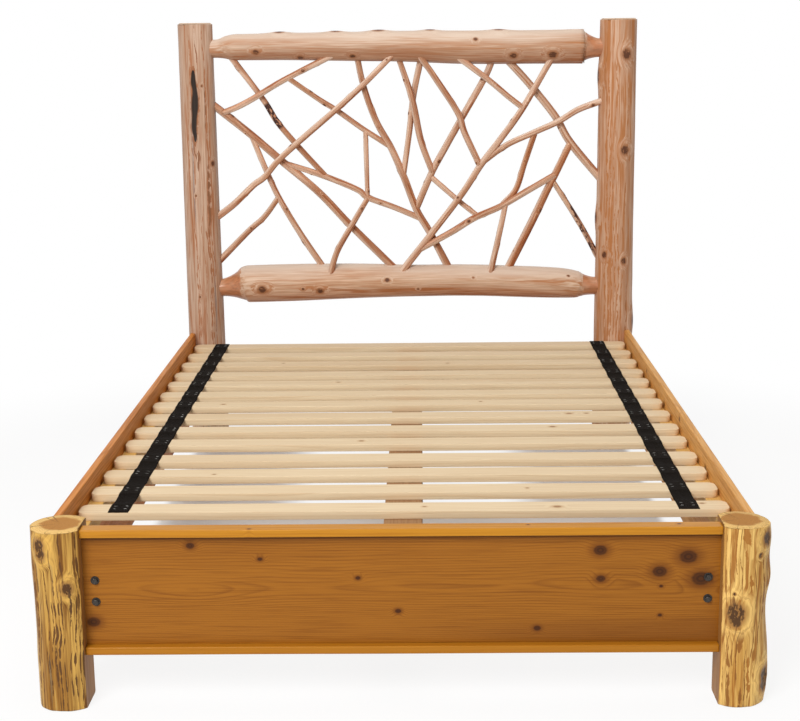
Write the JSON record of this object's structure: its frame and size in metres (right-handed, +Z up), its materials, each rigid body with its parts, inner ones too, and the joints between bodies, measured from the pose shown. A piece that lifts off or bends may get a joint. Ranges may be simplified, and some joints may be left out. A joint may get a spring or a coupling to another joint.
{
  "type": "log bed frame",
  "caption": "Rustic log bed frame: peeled log posts, a headboard of woven branches let into log rails, boarded foot and sides, and a lift-out mat of strapped slats.",
  "frame": {"origin": "on the floor under the middle of the bed's bounding box", "axes": "+X to the right seen from the foot, +Y from the foot to the head, +Z up"},
  "size_m": [1.6337, 2.3126, 1.5],
  "materials": {
    "peeled_cedar_post": "peeled round log, clear satin varnish",
    "peeled_cedar_rail": "peeled round log, clear satin varnish",
    "peeled_branch": "peeled stick, clear satin varnish",
    "stained_board": "sanded board, warm satin varnish",
    "stained_strip": "sanded strip, warm satin varnish",
    "plain_lumber": "planed softwood, unfinished",
    "slat_wood": "sawn softwood, unfinished",
    "webbing": "matte black woven webbing",
    "dark_steel": "dark blackened steel"
  },
  "bodies": {
    "bed_frame": {"beam_cleat_foot": "plain_lumber", "beam_cleat_head": "plain_lumber", "bracket_lag_bolts": "dark_steel", "branch_01": "peeled_branch", "branch_02": "peeled_branch", "branch_03": "peeled_branch", "branch_04": "peeled_branch", "branch_05": "peeled_branch", "branch_06": "peeled_branch", "branch_07": "peeled_branch", "branch_08": "peeled_branch", "branch_09": "peeled_branch", "branch_10": "peeled_branch", "branch_11": "peeled_branch", "branch_12": "peeled_branch", "branch_13": "peeled_branch", "branch_14": "peeled_branch", "branch_15": "peeled_branch", "branch_16": "peeled_branch", "branch_17": "peeled_branch", "branch_18": "peeled_branch", "branch_19": "peeled_branch", "branch_20": "peeled_branch", "branch_21": "peeled_branch", "branch_22": "peeled_branch", "branch_23": "peeled_branch", "branch_24": "peeled_branch", "branch_25": "peeled_branch", "centre_beam": "plain_lumber", "centre_leg_foot": "plain_lumber", "centre_leg_head": "plain_lumber", "cleat_lag_bolts": "dark_steel", "foot_board": "stained_board", "foot_bolts": "dark_steel", "foot_bottom_strip": "stained_strip", "foot_cleat_left": "plain_lumber", "foot_cleat_right": "plain_lumber", "foot_post_left": "peeled_cedar_post", "foot_post_right": "peeled_cedar_post", "foot_top_strip": "stained_strip", "foot_washers": "dark_steel", "head_bottom_rail": "peeled_cedar_rail", "head_cross_board": "plain_lumber", "head_post_left": "peeled_cedar_post", "head_post_right": "peeled_cedar_post", "head_top_rail": "peeled_cedar_rail", "ledger_screws": "dark_steel", "rail_brackets": "dark_steel", "side_board_left": "stained_board", "side_board_right": "stained_board", "side_ledger_left": "plain_lumber", "side_ledger_right": "plain_lumber"},
    "slat_mat": {"slats": "slat_wood", "strap_left": "webbing", "strap_right": "webbing"}
  },
  "joints": [
    {"name": "slat_mat_lift", "type": "slide", "parent": "bed_frame", "child": "slat_mat", "axis": [0, 0, 1], "range_m": [0, 0.3]}
  ]
}
